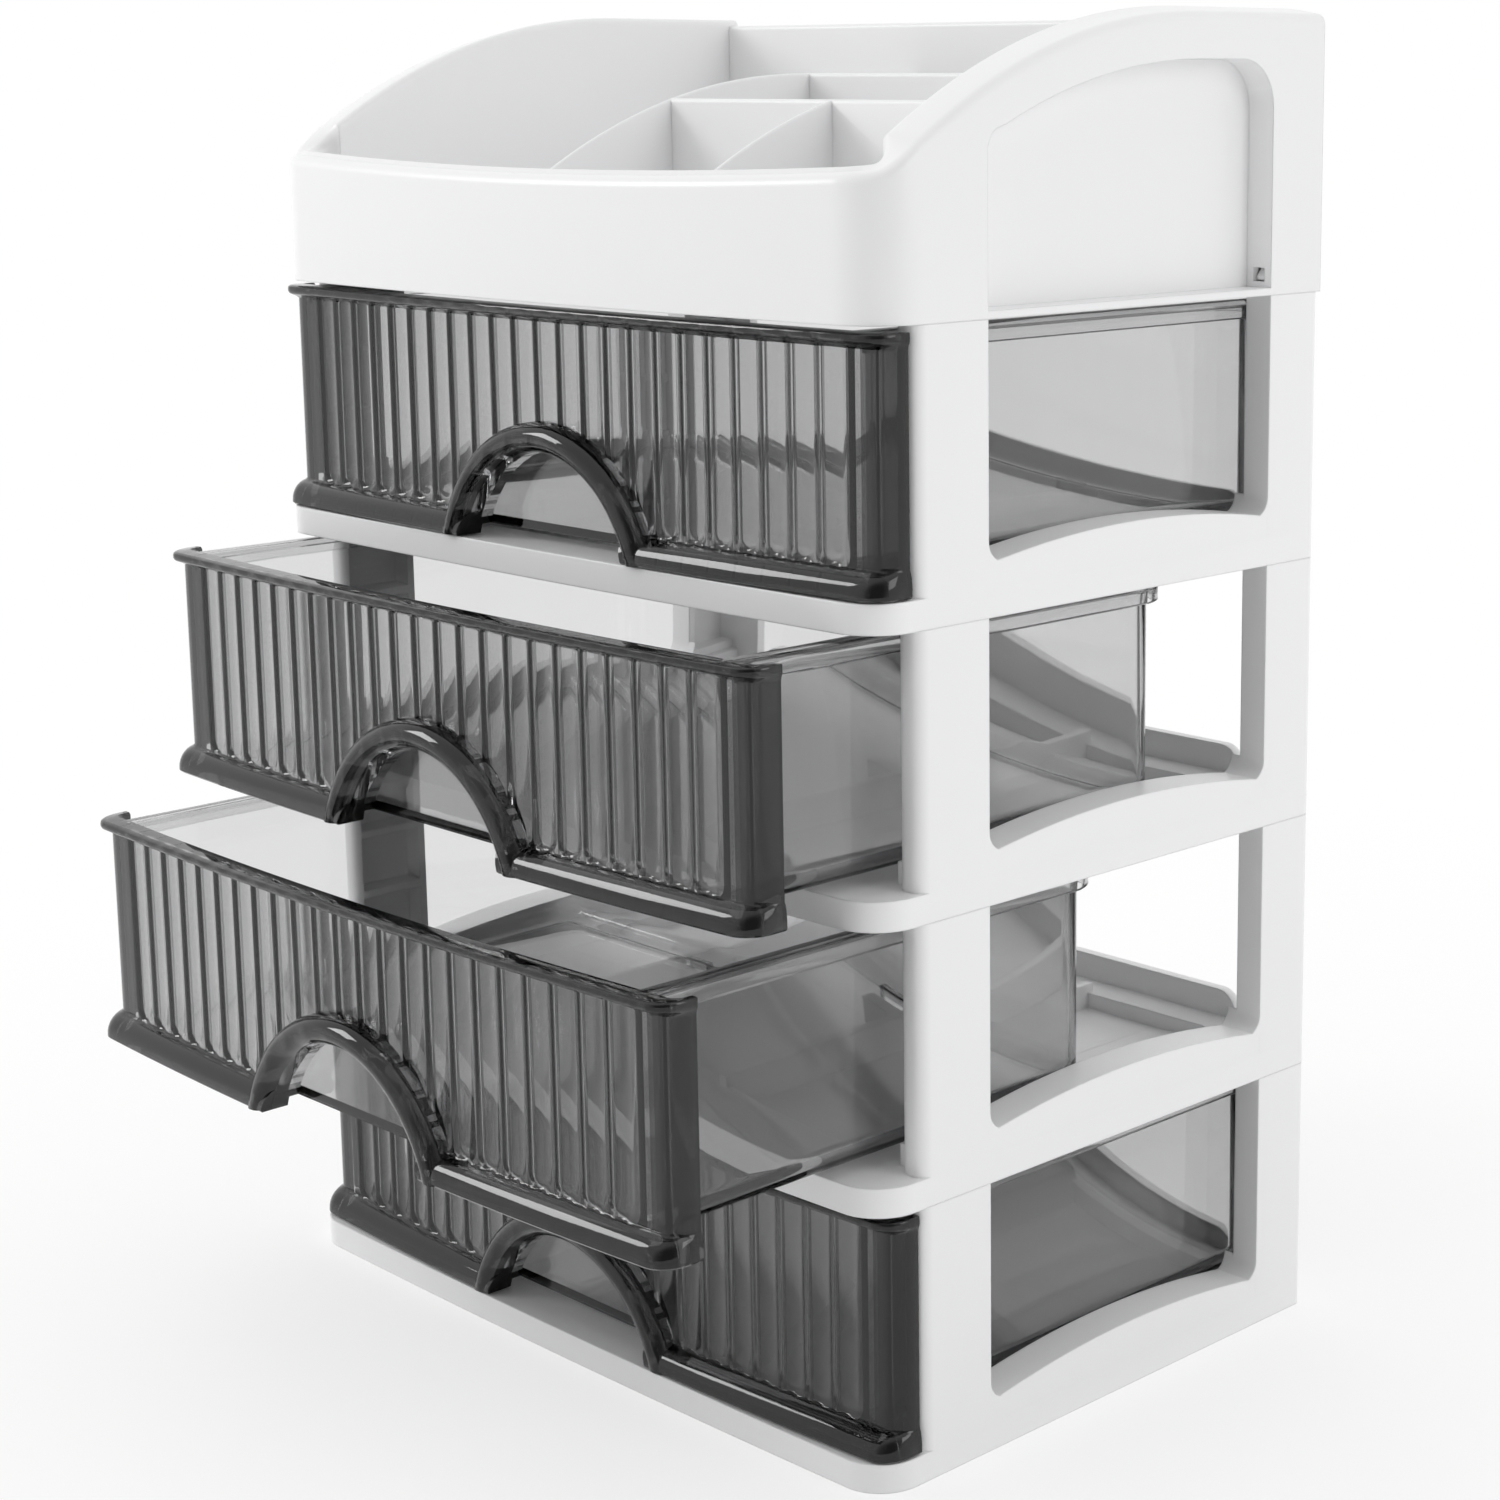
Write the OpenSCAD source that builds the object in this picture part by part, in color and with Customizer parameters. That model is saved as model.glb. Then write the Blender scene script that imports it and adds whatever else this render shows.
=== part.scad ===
// Desktop organiser: four stacked drawer cases with slide-out drawers, under an open compartment tray.

/* [Case] */
// Overall width
case_w = 240; // [220:1:280]
// Depth from the rear face to the middle of the front lip
case_d = 163.3; // [150:0.1:200]
// Height of one drawer case
tier_h = 69.9; // [64:0.1:90]
// Wall of the white mouldings
wall = 2.2; // [1.6:0.1:3]
// Height of the floor ledge and its front lip
lip_h = 7.4; // [6.5:0.1:9]
// How far the front lip bows forward in the middle
lip_bow = 1.5; // [0:0.1:4]
// Plan radius of the two front corners of a case
case_front_r = 12; // [6:0.5:16]
// Plan radius of the two rear corners
case_rear_r = 3; // [1:0.5:5]

/* [Posts and rails] */
// Thickness of a corner post, side to side
post_t = 8; // [7:0.1:10]
// Front post, front to back
front_post_d = 23.3; // [18:0.1:30]
// Front post set back from the middle of the front lip
front_post_back = 16; // [14:0.1:20]
// Radius of the front post's leading edge
front_post_r = 3.5; // [1:0.1:3.9]
// Rear post, front to back
rear_post_d = 20.5; // [16:0.1:26]
// Width of the rear leg behind the drawer
rear_leg_w = 20; // [16:0.1:30]
// Thickness of the rear wall
rear_wall_t = 3; // [2:0.1:4]
// Height of the low rail across the back
rear_rail_h = 15; // [12:0.1:24]
// Width of a side rail, seen from above
rail_w = 11; // [10:0.1:12]
// Height of a side rail at its ends
rail_end_h = 13; // [12:0.1:18]
// Rise of the side rail's arched top
rail_rise = 4.5; // [1:0.1:10]
// Height between two ribs inside a post
post_rib_pitch = 17; // [14:0.5:24]

/* [Case floor] */
// Width of the ledge at the sides and the back
ledge_w = 10; // [8:0.1:14]
// Width of the ledge behind the front lip
front_ledge_w = 18; // [16:0.1:30]
// Thickness of the floor grid
grid_t = 3; // [2:0.1:4]
// Width of a grid rib
grid_rib_w = 2.4; // [1.6:0.1:4]
// Pitch of the ribs side to side
grid_pitch_x = 25; // [24:0.5:33]
// Pitch of the ribs front to back
grid_pitch_y = 33; // [28:0.5:34]
// Runners, distance of each from the middle
runner_x = 50; // [48:0.5:70]
// Width of a runner
runner_w = 2.4; // [1.6:0.1:4]
// Height of the runners above the ledge
runner_rise = 2.5; // [2:0.1:4]
// Width of a stop block beside a runner
stop_w = 12; // [8:0.5:16]
// Stop block, front to back
stop_d = 4; // [3:0.1:8]

/* [Snap tongues] */
// Thickness of a tongue, side to side
tongue_t = 3; // [2:0.1:3]
// Tongue, front to back
tongue_d = 2.4; // [1.6:0.1:4]
// Height of a tongue above its post
tongue_h = 9; // [8:0.5:12]
// How far the tooth of a rear tongue stands out
tooth = 1.4; // [0.8:0.1:1.8]
// Height of the slot that takes the tooth
slot_h = 3.5; // [3:0.1:5]
// Height of the slot above the tray's base
slot_z = 3.4; // [3:0.1:4.4]

/* [Drawers] */
// Travel of a drawer from closed to its stop
drawer_travel = 70; // [40:1:90]
// Lowest drawer, how far it is open
drawer_1_open = 0; // [0:0.1:40]
// Second drawer, how far it is open
drawer_2_open = 66.8; // [0:0.1:66.8]
// Third drawer, how far it is open
drawer_3_open = 40.7; // [0:0.1:40.7]
// Top drawer, how far it is open
drawer_4_open = 1; // [0:0.1:40]
// Wall of the drawer's box
drawer_wall = 2; // [1.2:0.1:3]
// Thickness of the drawer's floor
drawer_floor_t = 2.2; // [1.4:0.1:3]
// Gap between the drawer's box and a side rail
side_gap = 1.5; // [0.5:0.1:2.5]
// Gap between the drawer's box and the rear wall
rear_gap = 4.3; // [3.5:0.1:8]
// Gap above the drawer
top_gap = 1.5; // [0.8:0.1:4]
// Plan radius of the box's rear corners
box_r = 6; // [3:0.5:8]
// How far the rim flange stands out from the box
rim_out = 3.9; // [2.5:0.1:3.9]
// Height of the rim flange's outer skirt
rim_drop = 4.9; // [3:0.1:8]
// Thickness of the rim flange
rim_t = 1.6; // [1.2:0.1:2]
// Width of the foot that meets the stop
foot_w = 9; // [6:0.5:10]

/* [Drawer front] */
// Front set in from each side of the case
front_inset = 1; // [0.5:0.1:3]
// Middle of the front, back from the middle of the case's lip
front_back = 4.7; // [3:0.1:6]
// How far the front bows forward in the middle
front_bow = 3.8; // [0:0.1:6]
// Plan radius of the front's corners
front_r = 6; // [3:0.5:6.5]
// Thickness of the front over the ridges
front_t = 3; // [2.4:0.1:4]
// Number of ridges between the flutes
flute_count = 24; // [12:2:28]
// Pitch of the ridges
flute_pitch = 9.2; // [6:0.1:9.2]
// Depth of a flute
flute_depth = 1; // [0.4:0.1:1.2]
// Height of the rim bead
bead_h = 5.2; // [3:0.1:8]
// How far the rim bead stands out
bead_out = 3; // [1.5:0.1:3.5]
// Height of the pull lip along the bottom
pull_h = 6.4; // [4:0.1:9]
// How far the pull lip stands out
pull_out = 5; // [3:0.1:5.5]

/* [Finger arch] */
// Outer radius of the arched bead
arch_r = 43.2; // [34:0.1:48]
// Centre of the arch below the case's base
arch_drop = 3.2; // [0:0.1:8]
// Width of the arched bead
arch_bead_w = 7.75; // [5:0.05:9]
// How far the arched bead stands out
arch_bead_out = 5.6; // [3:0.1:5.6]
// Depth of the finger niche behind the front
niche_d = 6; // [4:0.1:12]
// Wall of the niche
niche_wall = 2; // [1.4:0.1:3]

/* [Tray] */
// Height of the tray at the back
tray_h = 70.8; // [60:0.1:90]
// Height of the tray's front wall at its ends
tray_front_h = 34.4; // [24:0.1:40]
// How much lower the front wall is in the middle
tray_front_dip = 3; // [0:0.1:6]
// How far the front wall bows forward in the middle
tray_bow = 4.5; // [0:0.1:8]
// Ends of the front wall, back from the middle of the case's lip
tray_back = 3.2; // [2:0.1:5]
// Plan radius of the tray's front corners
tray_r = 15; // [8:0.5:18]
// Level part of the side rim, measured from the rear face
rim_level = 45; // [20:1:60]
// Fall of the side rim from there to the front wall
rim_fall = 40.5; // [30:0.5:50]
// Width of the side rim
rim_w = 12.4; // [10:0.1:14]
// Thickness of the tray's front wall
tray_front_t = 6; // [4:0.1:12]
// Height of the rim's crest over its outer edge
rim_crest = 1.2; // [0:0.1:2]
// Radius of the rim's outer edge
rim_edge_r = 3; // [1:0.1:4]
// Thickness of the tray's floor
tray_floor_t = 2.4; // [1.6:0.1:4]
// Depth of the side recess
recess_d = 8; // [4:0.1:8]
// Height of the strip under the side recess
recess_z = 1.9; // [1.5:0.1:2.4]
// Width of the band between the recess and the rim's outer edge
recess_band = 11.7; // [8:0.1:16]
// Radius of the recess's front upper corner
recess_r = 6; // [3:0.5:8]

/* [Dividers] */
// Thickness of a divider
divider_t = 1.8; // [1.2:0.1:3]
// Dividers lower than the side rim
divider_drop = 15; // [8:0.5:30]
// Long divider beside the left compartment
divider_left_x = -26; // [-60:0.5:0]
// Short divider between the two front compartments
divider_right_x = 37; // [10:0.5:80]
// Rear divider, in front of the rear face
divider_rear_y = 45; // [30:0.5:60]
// Middle divider, in front of the rear face
divider_mid_y = 95; // [75:0.5:115]

/* [Fit] */
// Running clearance between moving pieces
clearance = 0.3; // [0.2:0.05:0.5]

/* [Hidden] */
eps = 0.01;
// Small step that keeps a bead's faces off the faces of the wall that it stands on
seam = 0.2;
// Depth of a bead's rounding inside that wall
root = 0.5;
case_colour = [0.94, 0.94, 0.95];
smoke_colour = [0.30, 0.30, 0.31, 0.6];

// Case
half_w = case_w / 2;
rear_y = case_d / 2;
lip_y = -case_d / 2;
lip_corner_y = lip_y + lip_bow;
front_post_y = lip_y + front_post_back;
window_front_y = front_post_y + front_post_d;
window_rear_y = rear_y - rear_post_d;
post_x = half_w - post_t;
rail_x = half_w - rail_w;
well_x = rail_x - ledge_w;
well_front_y = lip_y + front_ledge_w;
well_rear_y = rear_y - rear_wall_t - ledge_w;
well_r = 6;
runner_z = lip_h + runner_rise;
rail_fillet_r = 3;

// Drawers
box_x = rail_x - side_gap;
box_rear_y = rear_y - rear_wall_t - rear_gap;
box_z = runner_z + clearance;
box_top = tier_h - top_gap;
front_x = half_w - front_inset;
face_corner_y = lip_y + front_back + front_bow;
flange_y = front_post_y - 0.5;
pull_z = lip_h + clearance;
foot_depth = 3;
foot_front_y = box_rear_y - 5;
foot_z = pull_z + 0.2;
stop_rear_y = foot_front_y - drawer_travel - clearance;
arch_in_r = arch_r - arch_bead_w;
niche_y = lip_y + front_back + niche_d;

// Tray
tray_z = 4 * tier_h;
tray_corner_y = lip_y + tray_back;
recess_x = half_w - recess_d;
rim_power = 2.17;
tray_in_r = 2;

// Points of an arc in the plane, from angle a to angle b in n steps
function arc(cx, cy, r, a, b, n) =
    [for (i = [0 : n]) let (t = a + (b - a) * i / n) [cx + r * cos(t), cy + r * sin(t)]];

// Depth of a bowed line at x: y_end at its ends, bow further forward in the middle
function bowed(x, x_end, y_end, bow) = y_end - bow * (1 - pow(x / x_end, 2));

// Points of a bowed line from x = -x_end to x_end
function bow_line(x_end, y_end, bow, n) =
    [for (i = [0 : n]) let (x = x_end * (2 * i / n - 1)) [x, bowed(x, x_end, y_end, bow)]];

// Closed plan outline with a bowed front, counter-clockwise seen from above
function plan(x, y_rear, y_end, bow, r_front, r_rear) = concat(
    arc(-x + r_rear, y_rear - r_rear, r_rear, 90, 180, 4),
    arc(-x + r_front, y_end + r_front, r_front, 180, 268, 6),
    bow_line(x - r_front, y_end, bow, 12),
    arc(x - r_front, y_end + r_front, r_front, 272, 360, 6),
    arc(x - r_rear, y_rear - r_rear, r_rear, 0, 90, 4));

// Stations [x, y, nx, ny] along the same front, from one side round to the other, n pointing outwards
function path(x, y_rear, y_end, bow, r, n_side, n_corner, n_front) = let (x_end = x - r) concat(
    [for (i = [0 : 1 : n_side - 1]) [-x, y_rear + (y_end + r - y_rear) * i / n_side, -1, 0]],
    [for (i = [0 : n_corner]) let (a = 180 + 88 * i / n_corner)
        [-x_end + r * cos(a), y_end + r + r * sin(a), cos(a), sin(a)]],
    [for (i = [1 : n_front - 1]) let (px = x_end * (2 * i / n_front - 1),
                                      s = 2 * bow * px / pow(x_end, 2),
                                      m = sqrt(1 + s * s))
        [px, bowed(px, x_end, y_end, bow), s / m, -1 / m]],
    [for (i = [0 : n_corner]) let (a = 272 + 88 * i / n_corner)
        [x_end + r * cos(a), y_end + r + r * sin(a), cos(a), sin(a)]],
    [for (i = [n_side - 1 : -1 : 0]) [x, y_rear + (y_end + r - y_rear) * i / n_side, 1, 0]]);

// Solid skin over a row of closed rings with the same number of points
module skin(rings) {
    n = len(rings[0]);
    last = len(rings) - 1;
    points = [for (ring = rings) each ring];
    sides = [for (i = [0 : last - 1], j = [0 : n - 1]) let (k = (j + 1) % n)
        each [[i * n + j, (i + 1) * n + k, i * n + k],
              [i * n + j, (i + 1) * n + j, (i + 1) * n + k]]];
    caps = [[for (j = [0 : n - 1]) j], [for (j = [n - 1 : -1 : 0]) last * n + j]];
    polyhedron(points, concat(sides, caps), convexity = 10);
}

// Ring at a station: section points are [distance outwards, height]
function ring(s, section) = [for (p = section) [s[0] + s[2] * p[0], s[1] + s[3] * p[0], p[1]]];

// Draws a solid on both sides of the middle
module both_sides() {
    children();
    mirror([1, 0, 0]) children();
}

// Extrudes a [y, z] outline along X from x0 by w
module side_plate(x0, w, points) {
    translate([x0, 0, 0]) rotate([90, 0, 90]) linear_extrude(w) polygon(points);
}

// ---- Drawer case ----

// Height of the side rail's arched top
function rail_z(y) = let (m = (window_front_y + window_rear_y) / 2, h = (window_rear_y - window_front_y) / 2)
    rail_end_h + rail_rise * (1 - pow((y - m) / h, 2));

// Rail outline in [y, z], drop lower than its top and inset at its ends
function rail_outline(y0, y1, z0, drop) = concat([[y0, z0], [y1, z0]],
    [for (i = [12 : -1 : 0]) let (y = window_front_y + (window_rear_y - window_front_y) * i / 12)
        [min(max(y, y0), y1), rail_z(y) - drop]]);

module rail_fillet(y, turn) {
    translate([rail_x, y, rail_end_h - 0.8]) rotate([90, 0, 90]) linear_extrude(rail_w)
        mirror([turn, 0]) difference() {
            translate([-eps, 0]) square(rail_fillet_r);
            translate([rail_fillet_r, rail_fillet_r]) circle(rail_fillet_r, $fn = 24);
        }
}

module post_outline(y, d, r) {
    if (r > 0) polygon(concat([[post_x, y + d]], arc(post_x + r, y + r, r, 180, 270, 5),
                              arc(half_w - r, y + r, r, 270, 360, 5), [[half_w, y + d]]));
    else polygon([[post_x, y], [half_w, y], [half_w, y + d - case_rear_r],
                  each arc(half_w - case_rear_r, y + d - case_rear_r, case_rear_r, 15, 90, 4),
                  [half_w - rear_leg_w, y + d], [half_w - rear_leg_w, y + d - rear_wall_t],
                  [post_x, y + d - rear_wall_t]]);
}

// Pockets that open towards the drawer, between level ribs
module post_pockets(y, d_in, z0) {
    count = floor((tier_h - z0 - wall) / post_rib_pitch);
    step = (tier_h - z0 - wall) / count;
    for (i = [0 : count - 1])
        translate([post_x - 1, y, z0 + i * step])
            cube([post_t - wall + 1, d_in, step - wall]);
}

module well_outline(grow) {
    x = well_x + grow;
    y0 = well_front_y - grow;
    y1 = well_rear_y + grow;
    r = well_r;
    polygon(concat(arc(-x + r, y0 + r, r, 180, 270, 4), arc(x - r, y0 + r, r, 270, 360, 4),
                   arc(x - r, y1 - r, r, 0, 90, 4), arc(-x + r, y1 - r, r, 90, 180, 4)));
}

module tier_shell() {
    difference() {
        union() {
            linear_extrude(lip_h) polygon(plan(half_w, rear_y, lip_corner_y, lip_bow, case_front_r, case_rear_r));
            translate([-half_w + rear_leg_w - eps, rear_y - rear_wall_t, 0])
                cube([case_w - 2 * rear_leg_w + 2 * eps, rear_wall_t, rear_rail_h]);
            both_sides() {
                side_plate(rail_x, rail_w, rail_outline(window_front_y - eps, window_rear_y + eps, 0, 0));
                side_plate(rail_x, post_t, [[front_post_y + front_post_r, 0], [window_front_y, 0],
                    [window_front_y, rail_end_h], [front_post_y + front_post_r, rail_end_h]]);
                side_plate(rail_x, post_t, [[window_rear_y, 0], [rear_y - rear_wall_t, 0],
                    [rear_y - rear_wall_t, rail_end_h], [window_rear_y, rail_end_h]]);
                rail_fillet(window_front_y, 0);
                rail_fillet(window_rear_y, 1);
                linear_extrude(tier_h) post_outline(front_post_y, front_post_d, front_post_r);
                linear_extrude(tier_h) post_outline(window_rear_y, rear_post_d, 0);
            }
        }
        // hollow under the ledge and the lip
        translate([0, 0, -1]) linear_extrude(lip_h - wall + 1) difference() {
            polygon(plan(half_w - wall, rear_y - wall, lip_corner_y + wall, lip_bow,
                         case_front_r - wall, case_rear_r - wall / 2));
            well_outline(wall);
        }
        translate([0, 0, -1]) linear_extrude(lip_h + 2) well_outline(0);
        both_sides() {
            // hollow under the rail, open below
            side_plate(rail_x + wall, rail_w - 2 * wall,
                       concat([[front_post_y + front_post_r + wall, -1], [rear_y - rear_wall_t - wall, -1],
                               [rear_y - rear_wall_t - wall, rail_end_h - wall]],
                              [for (i = [12 : -1 : 0])
                                  let (y = window_front_y + (window_rear_y - window_front_y) * i / 12)
                                  [y, rail_z(y) - wall]],
                              [[front_post_y + front_post_r + wall, rail_end_h - wall]]));
            post_pockets(front_post_y + wall, front_post_d - 2 * wall, rail_end_h + wall);
            post_pockets(window_rear_y + wall, rear_post_d - wall - rear_wall_t, rail_end_h + wall);
        }
    }
}

// See-through grid of ribs, flush with the base
module tier_grid() {
    length = well_rear_y - well_front_y + 2 * wall;
    for (i = [-floor((well_x - 1) / grid_pitch_x) : floor((well_x - 1) / grid_pitch_x)])
        translate([i * grid_pitch_x - grid_rib_w / 2, well_front_y - wall, 0])
            cube([grid_rib_w, length, grid_t]);
    for (i = [ceil((well_front_y + 1) / grid_pitch_y) : floor((well_rear_y - 1) / grid_pitch_y)])
        translate([-well_x - wall, i * grid_pitch_y - grid_rib_w / 2, 0])
            cube([2 * (well_x + wall), grid_rib_w, grid_t]);
    both_sides() {
        translate([runner_x - runner_w / 2, well_front_y - wall, 0])
            cube([runner_w, length, runner_z]);
        translate([runner_x + runner_w / 2 - stop_w, stop_rear_y - stop_d, 0])
            cube([stop_w, stop_d, runner_z]);
    }
}

// Tongue on a post's top, with an optional tooth towards the front
module tongue(y, tooth_out) {
    x0 = half_w - wall - clearance - tongue_t;
    tooth_z = slot_z + clearance;
    translate([0, 0, tier_h - eps]) {
        translate([x0, y, 0]) cube([tongue_t, tongue_d, tongue_h]);
        if (tooth_out > 0)
            side_plate(x0, tongue_t, [[y + eps, tooth_z], [y - tooth_out, tooth_z],
                [y - tooth_out, tooth_z + 1], [y + eps, tooth_z + slot_h - 2 * clearance]]);
    }
}

module tier(level) {
    color(case_colour) translate([0, 0, (level - 1) * tier_h]) {
        tier_shell();
        tier_grid();
        both_sides() {
            tongue(front_post_y + front_post_r + wall + clearance, 0);
            tongue(window_rear_y + wall + clearance, tooth);
        }
    }
}

// ---- Drawer ----

// Front line of the drawer, with the ridges standing on it and the flutes cut back from it
function face_y(x) = bowed(x, front_x - front_r, face_corner_y, front_bow);
flute_x = flute_count * flute_pitch / 2;
flute_profile = [0, 0.72, 1, 0.72];
function fluted_line() = [for (i = [2 : 4 * flute_count - 2])
    let (x = -flute_x + i * flute_pitch / 4) [x, face_y(x) + flute_depth * flute_profile[(i + 2) % 4]]];

// Plan of the front with its two side returns: the outer line, then the inner line back
function front_shell(outer, t) = concat(
    [[-front_x, flange_y]], arc(-front_x + front_r, face_corner_y + front_r, front_r, 180, 268, 6),
    outer,
    arc(front_x - front_r, face_corner_y + front_r, front_r, 272, 360, 6), [[front_x, flange_y]],
    [[front_x - drawer_wall, flange_y]],
    arc(front_x - front_r, face_corner_y + front_r, front_r - drawer_wall, 360, 300, 4),
    [for (i = [12 : -1 : 0]) let (x = (box_x - 2) * (i / 6 - 1)) [x, face_y(x) + t]],
    arc(-front_x + front_r, face_corner_y + front_r, front_r - drawer_wall, 240, 180, 4),
    [[-front_x + drawer_wall, flange_y]]);

// Plan of the box, dx inside its outer faces, from just behind the front's outer line
function box_plan(dx, y_front) = let (r = box_r - dx, x = box_x - dx, y = box_rear_y - dx) concat(
    [for (i = [0 : 12]) let (px = x * (i / 6 - 1)) [px, face_y(px) + y_front]],
    arc(x - r, y - r, r, 0, 90, 5), arc(-x + r, y - r, r, 90, 180, 5));

module drawer_box() {
    difference() {
        translate([0, 0, box_z]) linear_extrude(box_top - box_z) polygon(box_plan(0, front_t / 2));
        translate([0, 0, box_z + drawer_floor_t]) linear_extrude(box_top) polygon(box_plan(drawer_wall, front_t));
    }
    // rim flange with its hanging skirt
    x = box_x + rim_out;
    y = box_rear_y + rim_out - 1.4;
    r = box_r + rim_out - 1;
    y0 = face_corner_y + front_t;
    translate([0, 0, box_top - rim_drop]) difference() {
        linear_extrude(rim_drop) polygon(concat([[-x, y0], [x, y0]], arc(x - r, y - r, r, 0, 90, 5),
                                                arc(-x + r, y - r, r, 90, 180, 5)));
        translate([0, 0, -1]) linear_extrude(rim_drop - rim_t + 1)
            polygon(concat([[-x + rim_t, y0 - 1], [x - rim_t, y0 - 1]],
                           arc(x - r, y - r, r - rim_t, 0, 90, 5), arc(-x + r, y - r, r - rim_t, 90, 180, 5)));
        translate([0, 0, -2]) linear_extrude(rim_drop + 4) polygon(box_plan(drawer_wall / 2, front_t));
    }
    both_sides() translate([runner_x - runner_w / 2 - 1.5 - foot_w, foot_front_y, foot_z])
        cube([foot_w, foot_depth, box_z - foot_z + eps]);
}

// Rounded bead along the top edge
function bead_section(fade) = let (r = bead_h / 2, z = box_top - seam - r) concat([[-1.5, z - r], [-1.5, z + r]],
    [for (i = [0 : 6]) let (a = 90 - 30 * i) [(fade * bead_out + root) * cos(a) - root, z + r * sin(a)]]);

// Pull lip: rounded above, flat below
function pull_section(fade) = concat([[-1.5, pull_z], [-1.5, pull_z + pull_h]],
    [for (i = [0 : 5]) let (a = 90 - 16 * i)
        [(fade * pull_out + root) * cos(a) - root, pull_z + 1 + (pull_h - 1) * sin(a)]],
    [[fade * pull_out, pull_z]]);

// Full in front, fading round the corner to a trace on the side returns
function fade_at(s) = 0.16 + 0.84 * pow(s[3], 2);
front_path = path(front_x, flange_y - seam, face_corner_y, front_bow, front_r, 2, 5, 15);

module arch_bead() {
    foot = asin((pull_z + arch_drop) / arch_r);
    skin([for (i = [20 : -1 : 0]) let (a = foot + (180 - 2 * foot) * i / 20)
        [for (j = [0 : 7]) let (b = j * 180 / 6,
                                r = arch_r - seam - arch_bead_w / 2 + (j > 6 ? 0 : arch_bead_w / 2 * cos(b)),
                                out = j > 6 ? -2.5 : (j == 0 || j == 6) ? -1.5 : arch_bead_out * sin(b),
                                x = r * cos(a), z = max(r * sin(a) - arch_drop, pull_z + seam))
            [x, face_y(x) - out, z]]]);
}

// Half disc under the arch, standing on the height z0, in the [x, z] plane
module arch_disc(r, z0) {
    a = asin((z0 + arch_drop) / r);
    polygon([for (i = [0 : 24]) let (t = a + (180 - 2 * a) * i / 24) [r * cos(t), r * sin(t) - arch_drop]]);
}

module arch_prism(r, z0, y0, y1) {
    translate([0, y1, 0]) rotate([90, 0, 0]) linear_extrude(y1 - y0) arch_disc(r, z0);
}

module drawer_front() {
    flute_z0 = pull_z + pull_h - 1;
    flute_z1 = box_top - bead_h + 0.6;
    translate([0, 0, flute_z0]) linear_extrude(flute_z1 - flute_z0) polygon(front_shell(fluted_line(), front_t));
    for (band = [[pull_z + seam, flute_z0], [flute_z1, box_top]])
        translate([0, 0, band[0]]) linear_extrude(band[1] - band[0])
            polygon(front_shell(bow_line(front_x - front_r, face_corner_y - seam, front_bow, 12), front_t));
    skin([for (s = front_path) ring(s, bead_section(fade_at(s)))]);
    skin([for (s = front_path) ring(s, pull_section(fade_at(s)))]);
}

module drawer(level, open) {
    face_mid_y = lip_y + front_back;
    color(smoke_colour) translate([0, -open, (level - 1) * tier_h]) {
        difference() {
            union() {
                drawer_box();
                drawer_front();
                intersection() {
                    arch_prism(arch_in_r + niche_wall, box_z, face_mid_y, niche_y + niche_wall);
                    translate([-half_w, lip_y, 0]) cube([case_w, case_d, box_top]);
                }
            }
            arch_prism(arch_in_r, pull_z - 2, face_mid_y - 9, niche_y);
        }
        arch_bead();
    }
}

// ---- Tray ----

// Height of the rim's outer edge at depth y
function rim_z(y) = tray_h - rim_fall * pow(max(0, rear_y - rim_level - y) / (case_d - rim_level - tray_back),
                                            rim_power);

// Height of the rim at a station: the falling side rim, or the dipped front wall where that is higher
function collar_z(s) = max(rim_z(s[1]), tray_front_h - tray_front_dip * (1 - pow(s[0] / half_w, 2)));

// Thickness of the collar: the wide side rim narrows round the corner to the front wall
function collar_t(s) = rim_w + (tray_front_t - rim_w) * min(1, max(0, -s[3]));

// Wall of the tray: up its inner face, over the crest and the rounded outer edge, down its outer face
function collar_section(t, z) = concat([[-t, 0]],
    [for (i = [0 : 3]) let (a = 30 * i)
        [-t + tray_in_r * (1 - cos(a)), z + rim_crest - tray_in_r * (1 - sin(a))]],
    [for (i = [0 : 4]) let (a = 90 - 90 * i / 4)
        [-rim_edge_r * (1 - cos(a)), z - rim_edge_r * (1 - sin(a))]],
    [[0, 0]]);

module tray_collar() {
    skin([for (s = path(half_w, rear_y, tray_corner_y, tray_bow, tray_r, 14, 6, 14))
        ring(s, collar_section(collar_t(s), collar_z(s)))]);
    translate([-half_w + rim_w / 2, rear_y - rear_wall_t - 0.6, 0])
        cube([case_w - rim_w, rear_wall_t + 0.6, tray_h - 0.6]);
    linear_extrude(tray_floor_t)
        polygon(plan(half_w - 1, rear_y - 1, tray_corner_y + 1, tray_bow, tray_r - 1, case_rear_r));
}

// Long divider with a top that follows the side rim
module long_divider(x, y_back) {
    y0 = tray_corner_y - tray_bow + tray_front_t - 1.5;
    side_plate(x - divider_t / 2, divider_t, concat([[y0, 0], [y_back, 0]],
        [for (i = [10 : -1 : 0]) let (y = y0 + (y_back - y0) * i / 10)
            [y, min(rim_z(y), rim_z(y_back)) - divider_drop]]));
}

module cross_divider(y) {
    translate([divider_left_x, y - divider_t / 2, 0])
        cube([half_w - rim_w / 2 - divider_left_x, divider_t, rim_z(y) - divider_drop]);
}

module side_recess() {
    r = recess_r;
    y0 = window_front_y;
    y1 = window_rear_y;
    translate([recess_x, 0, 0]) rotate([90, 0, 90]) linear_extrude(recess_d + 1)
        offset(r, $fn = 24) offset(delta = -r)
            polygon(concat([[y0, recess_z - 2 * r], [y1, recess_z - 2 * r]],
                [for (i = [12 : -1 : 0]) let (y = y0 + (y1 - y0) * i / 12) [y, rim_z(y) - recess_band]]));
}

// Hollow foot of a tray column, open below
module column_hollow(y, d) {
    translate([recess_x + 0.5, y + wall, -1])
        cube([recess_d - wall - 0.5, d - 2 * wall, tongue_h + 3]);
}

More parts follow.
